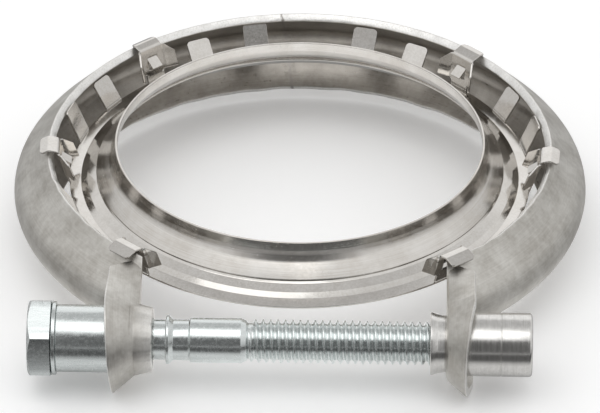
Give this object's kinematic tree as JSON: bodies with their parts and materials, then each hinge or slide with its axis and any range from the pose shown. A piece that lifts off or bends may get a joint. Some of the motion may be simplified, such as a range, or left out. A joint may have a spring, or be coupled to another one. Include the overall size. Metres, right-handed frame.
{
  "type": "exhaust pipe clamp with sealing ring",
  "caption": "V-section band clamp for exhaust pipes, drawn shut by a hexagon bolt across its two ears, with a conical metal sealing ring clipped inside it.",
  "frame": {"origin": "on the ring's axis, in the middle plane of the V groove", "axes": "+Z along the ring's axis toward the sealing ring's mouth, +X along the bolt from its head to the nut, the bolt at -Y"},
  "size_m": [0.0804, 0.0863, 0.0152],
  "materials": {
    "band_steel": "pressed stainless sheet, satin with forming marks",
    "spring_steel": "bright rolled stainless spring sheet",
    "zinc": "bright bluish zinc plate",
    "turned_steel": "turned stainless, fine rings"
  },
  "bodies": {
    "clamp": {"clamp_band": "band_steel", "seal_ring": "spring_steel", "retainer_ring": "spring_steel", "barrel_nut": "turned_steel"},
    "sleeve": {"spacer_sleeve": "zinc"},
    "bolt": {"clamp_bolt": "zinc"}
  },
  "joints": [
    {"name": "screw_travel", "type": "slide", "parent": "clamp", "child": "sleeve", "axis": [1, 0, 0], "range_m": [-0.0016, 0]},
    {"name": "bolt_turn", "type": "hinge", "parent": "sleeve", "child": "bolt", "pos_m": [0, -0.0386, 0], "axis": [1, 0, 0], "range_deg": [-576, 0]}
  ],
  "couplings": [
    {"joint": "bolt_turn", "follows": "screw_travel", "rad_per_m": 6283.2}
  ]
}
